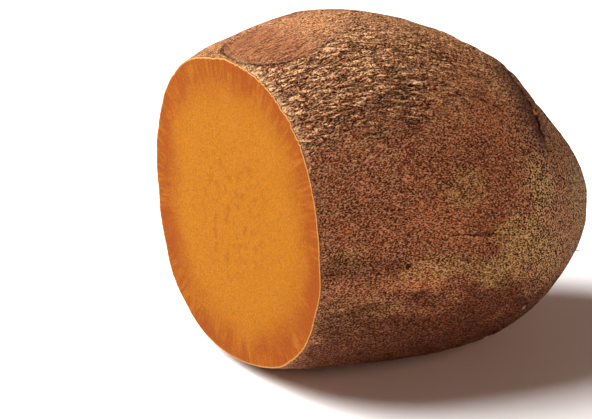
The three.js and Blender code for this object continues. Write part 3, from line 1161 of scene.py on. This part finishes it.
# %% [markdown]
# ## The crack, the fold and a dark red band
#
# Lines are drawn from the distances kept on the points: black where a distance is near 0, and
# nothing at the line's half width. Noise breaks them up, as a real crack closes in places. The
# black in the crease and in the fold's groove is painted shade. On the side of the fold that
# faces the cut, the skin is mixed towards dark red in a band that ends raggedly.

# %% The crack, the fold and a dark red band
DARK_RED_BAND = colour(58, 24, 24)
CRACK_LINE, FOLD_LINE, CREASE_LINE = 0.65, 0.9, 0.8
DARK_BAND_RAGGED, DARK_BAND_START, DARK_BAND_END = 12, (-8, 8), (1.5, 0.2)

crack_line = skin.line(kept["flake_distance"] - CRACK_OFFSET, CRACK_LINE)
crack = crack_line * kept["flake_edge"] * (0.6 + 0.4 * skin.ramp(grain, 0.4, 0.55))
body = skin.mix(crack * 0.9, body, SOIL_AND_SHADE_BLACK)
across, on_fold = kept["fold_across"], kept["fold_share"]
band = skin.ramp(across + DARK_BAND_RAGGED * blotches, *DARK_BAND_START)
band = band * skin.ramp(across, *DARK_BAND_END)
body = skin.mix(on_fold * band * 0.74, body, DARK_RED_BAND)
# Painted shade: a dark line along the crease and along the fold's groove.
crease = kept["crease_share"] * skin.line(kept["crease_across"], CREASE_LINE) * 0.35
groove = crease.larger(on_fold * skin.line(across, FOLD_LINE))
body = skin.mix(groove * skin.ramp(blotches + 0.3 * grain, 0.42, 0.56), body, SOIL_AND_SHADE_BLACK)
print("with its lines, the skin has", len(skin.nodes), "nodes")

# %% [markdown]
# ## Marks on top, then height and shine
#
# Scratches, pits, the torn place and the pale crumbs cover what lies below them, so they come
# last, with the frayed edge beside the cut. The height repeats the layers that have relief.
# Dry skin is dull, so its shine is low and nearly even.

# %% Marks on top, then height and shine
TORN_ORANGE = colour(206, 130, 52)
CREAM = colour(204, 168, 126)
SKIN_SHINE = 0.05

body = skin.mix(skin.ramp(kept["scratch_distance"], 0.35, 0.05) * 0.65, body, SOIL_AND_SHADE_BLACK)
body = skin.mix(skin.ramp(kept["dark_marks"], -0.1, 0.25) * 0.9, body, SOIL_AND_SHADE_BLACK)
body = skin.mix(skin.ramp(kept["torn_marks"], 0, 0.3) * 0.9, body, TORN_ORANGE)
body = skin.mix(skin.ramp(kept["pale_marks"], 0, 0.3) * 0.85, body, CREAM)
frayed = kept["fringe"] * skin.ramp(grain + 0.3 * tone, 0.5, 0.7)
body = skin.mix(frayed * 0.9, body, CREAM)

height = (
    0.55 * on_wrinkles * (1 - coarse_gap)
    + 0.1 * (1 - on_wrinkles) * (1 - 0.8 * inside) * (1 - fine_gap)
    + 0.3 * grain
    + grit * (0.12 * dome + 0.1 * tone + 0.7 * sand)
    - 0.3 * crack
)
rough = 0.66 + 0.2 * skin.ramp(grain, 0.35, 0.65)
normal = skin.bump(height)
skin.finish(Base_Color=body, Roughness=rough, Normal=normal, Specular_IOR_Level=SKIN_SHINE)
mesh.materials.append(skin.data)
print("the skin's material has", len(skin.nodes), "nodes")

# %% [markdown]
# ## Patterns in the flesh
#
# Cut flesh is a bed of small moist cells. Near the skin, fine fibres point to the middle: noise
# makes them when one of its coordinates is the angle about the middle, taken many times, and
# the other is the distance from the rim, taken a few times.

# %% Patterns in the flesh
CELL_SIZE, FLESH_GRANULE_SIZE, CLOUD_SIZE, DOT_SIZE, FIBRE_SIZE = 0.5, 0.36, 9, 2.6, 0.7
FIBRES_AROUND, FIBRES_INWARD = 26, 0.09

flesh = Material("sweet_potato_flesh")
here = flesh.place()
inset = flesh.kept("from_rim")
face_middle = tuple((centre + step_to_frame).tolist())
shifted = flesh.node("ShaderNodeVectorMath", {"operation": "SUBTRACT"}, {0: here, 1: face_middle})
y = flesh.node("ShaderNodeSeparateXYZ", None, {0: shifted}, output="Y")
z = flesh.node("ShaderNodeSeparateXYZ", None, {0: shifted}, output="Z")
angle = y.math("ARCTAN2", z, y)
polar_inputs = {0: angle * FIBRES_AROUND, 1: inset * FIBRES_INWARD}
polar = flesh.node("ShaderNodeCombineXYZ", None, polar_inputs)
fibres = flesh.noise(FIBRE_SIZE, polar, detail=2)
cells = flesh.noise(CELL_SIZE, here, detail=3, roughness=0.7)
cell_tone, cell_dome = flesh.granules(FLESH_GRANULE_SIZE, here)
cloud = flesh.noise(CLOUD_SIZE, here, detail=3)
dots = flesh.noise(DOT_SIZE, here, detail=1)
print("the flesh's patterns took", len(flesh.nodes), "nodes")

# %% [markdown]
# ## The flesh's finish
#
# Under the skin lies a thin pale line, then deep orange with pale rays of fibre, a faint darker
# ring, and a calm, paler middle with a few darker dots, where bundles of vessels were cut.
# The cells make all of it a little uneven. Light enters moist flesh, so a small share of it
# is scattered below the surface.

# %% The flesh's finish
FLESH = colour(116, 53, 5)
PALE_FLESH = colour(137, 84, 9)
DOT_ORANGE = colour(112, 50, 4)
RIM_YELLOW = colour(176, 132, 74)
RIM_BROWN = colour(96, 50, 24)
SCATTER_RADIUS, SCATTER_WEIGHT, SCATTER_SCALE = (1.0, 0.32, 0.08), 0.12, 2 * MM
FLESH_SHINE = 0.03

body = flesh.mix(flesh.ramp(inset + 12 * cloud, 6, 21), FLESH, PALE_FLESH)
ring_place = inset + 2 * cloud
ring = flesh.ramp(ring_place, 3.4, 5.2) * flesh.ramp(ring_place, 8, 5.6)
body = flesh.mix(ring * 0.2, body, DOT_ORANGE)
middle_share = flesh.ramp(inset, 17, 27)
body = flesh.mix(middle_share * flesh.ramp(dots, 0.5, 0.72) * 0.4, body, DOT_ORANGE)
near_rim = flesh.ramp(inset, 15, 2)
rays = near_rim * flesh.ramp(fibres, 0.42, 0.64) * flesh.ramp(cloud, 0.3, 0.6)
body = flesh.mix(rays * 0.6, body, PALE_FLESH)
body = flesh.mix(flesh.ramp(cells, 0.55, 0.38) * 0.3, body, DOT_ORANGE)
body = flesh.shade(body, 0.68 + 0.4 * cells + 0.26 * cell_tone)
body = flesh.mix(flesh.ramp(cell_tone, 0.06, 0.02) * 0.3, body, RIM_BROWN)
uneven = inset + 0.4 * cells
body = flesh.mix(flesh.ramp(uneven, 0.75, 0.4) * 0.8, body, RIM_YELLOW)
body = flesh.mix(flesh.ramp(uneven, 0.34, 0.22), body, RIM_BROWN)

flesh.finish(
    Base_Color=body,
    Roughness=0.5 + 0.2 * cells,
    Normal=flesh.bump(0.1 * cells + 0.05 * fibres * near_rim + 0.05 * cell_dome),
    Subsurface_Weight=SCATTER_WEIGHT,
    Subsurface_Radius=SCATTER_RADIUS,
    Subsurface_Scale=SCATTER_SCALE,
    Specular_IOR_Level=FLESH_SHINE,
)
mesh.materials.append(flesh.data)
print("the flesh's material has", len(flesh.nodes), "nodes")

# %% [markdown]
# ## The root hairs' finish
#
# The hairs are dry fibre of the skin's own brown, so one noise between brown and black will do.

# %% The root hairs' finish
HAIR_GRAIN_SIZE, HAIR_ROUGHNESS = 0.3, 0.8

fibre = Material("root_hair")
hair_grain = fibre.noise(HAIR_GRAIN_SIZE, fibre.place(), detail=2)
fibre.finish(Base_Color=fibre.mix(hair_grain, SOIL_AND_SHADE_BLACK, BROWN), Roughness=HAIR_ROUGHNESS)
hair_mesh.materials.append(fibre.data)
print("materials:", [material.name for material in bpy.data.materials])

# %% [markdown]
# ## Joining the frame
#
# Both pieces ride on the one body. The skin and flesh stand for the solid, which stays in the
# model for contact and weight but isn't shown.

# %% Join the frame
for piece in (root, hairs):
    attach(piece, "root")
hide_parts(NODE)

# %% [markdown]
# ## Floor and light
#
# The root lies on a white, slightly glossy board. One large soft light from behind on the
# left makes the top bright, rakes over the wrinkles and throws a soft shadow forwards and to
# the right. A pale sky and the board itself fill the shaded side.

# %% Floor and light
FLOOR_HALF, FLOOR_DROP = 3.0, 0.1 * MM
FLOOR_WHITE, FLOOR_ROUGHNESS = (0.93, 0.93, 0.93, 1), 0.28
SKY_STRENGTH = 0.05
# Azimuth and elevation in degrees, distance and size in metres, power in watts, and a tint.
LAMPS = {
    "key": (139, 46, 1.05, 1.1, 45, (1, 0.985, 0.97)),
    "fill": (-80, 22, 1.6, 1.2, 9.7, (1, 0.56, 0.4)),
}

floor_mesh = bpy.data.meshes.new("floor")
signs = [(-1, -1), (1, -1), (1, 1), (-1, 1)]
corners = [(x * FLOOR_HALF, y * FLOOR_HALF, -FLOOR_DROP) for x, y in signs]
floor_mesh.from_pydata(corners, [], [(0, 1, 2, 3)])
floor = bpy.data.objects.new("floor", floor_mesh)
bpy.context.scene.collection.objects.link(floor)
board = Material("white_board")
board.finish(Base_Color=FLOOR_WHITE, Roughness=FLOOR_ROUGHNESS)
floor_mesh.materials.append(board.data)
floor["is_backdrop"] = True


def direction(azimuth, elevation):
    """Unit vector to a light: azimuth from +X towards +Y, elevation above the floor."""
    a, e = math.radians(azimuth), math.radians(elevation)
    return Vector((math.cos(a) * math.cos(e), math.sin(a) * math.cos(e), math.sin(e)))


def soft_light(name, azimuth, elevation, distance, size, power, tint):
    """A round area light that faces the root's middle."""
    data = bpy.data.lights.new(name, "AREA")
    data.shape = "DISK"
    data.size = size
    data.energy = power
    data.color = tint
    lamp = bpy.data.objects.new(name, data)
    towards = direction(azimuth, elevation)
    lamp.location = Vector((0, 0, HIGH.z / 2)) + towards * distance
    lamp.rotation_euler = towards.to_track_quat("Z", "Y").to_euler()
    bpy.context.scene.collection.objects.link(lamp)


for name, values in LAMPS.items():
    soft_light(name, *values)
sky = bpy.data.worlds.new("sky")
sky.use_nodes = True
background = sky.node_tree.nodes["Background"]
background.inputs["Color"].default_value = (1, 1, 1, 1)
background.inputs["Strength"].default_value = SKY_STRENGTH
bpy.context.scene.world = sky
bpy.context.scene.view_settings.view_transform = "Standard"
print("lamps:", list(LAMPS), "and a sky of", SKY_STRENGTH)

# %% [markdown]
# ## Camera
#
# The camera looks down a little from the cut end, with a long lens, so that the root fills
# the picture with little perspective.

# %% Camera
CAMERA_AZIMUTH, CAMERA_ELEVATION, CAMERA_DISTANCE = -32.212, 20.91, 700 * MM
TARGET_IN_FORMULA = (17.286, 0, 37.623)
LENS, SENSOR = 177.54, 36

back = direction(CAMERA_AZIMUTH - 90, CAMERA_ELEVATION)
target = Vector((np.array(TARGET_IN_FORMULA) + step_to_frame) * MM)
camera_data = bpy.data.cameras.new("camera")
camera_data.lens = LENS
camera_data.sensor_width = SENSOR
camera = bpy.data.objects.new("camera", camera_data)
camera.location = target + back * CAMERA_DISTANCE
camera.rotation_euler = back.to_track_quat("Z", "Y").to_euler()
bpy.context.scene.collection.objects.link(camera)
bpy.context.scene.camera = camera
print("camera at", [round(c, 3) for c in camera.location], "m")

# %% [markdown]
# ## Measure and finish
#
# Both boxes are written down, so that the finished model's size can be compared with the solid's.

# %% Measure and finish
VISUAL_BOX = [list(corner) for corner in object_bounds()]
grown = [[round(1000 * (v - c), 2) for v, c in zip(*pair)] for pair in zip(VISUAL_BOX, CAD_BOX)]
print("the model's box differs from the solid's by", grown, "mm")
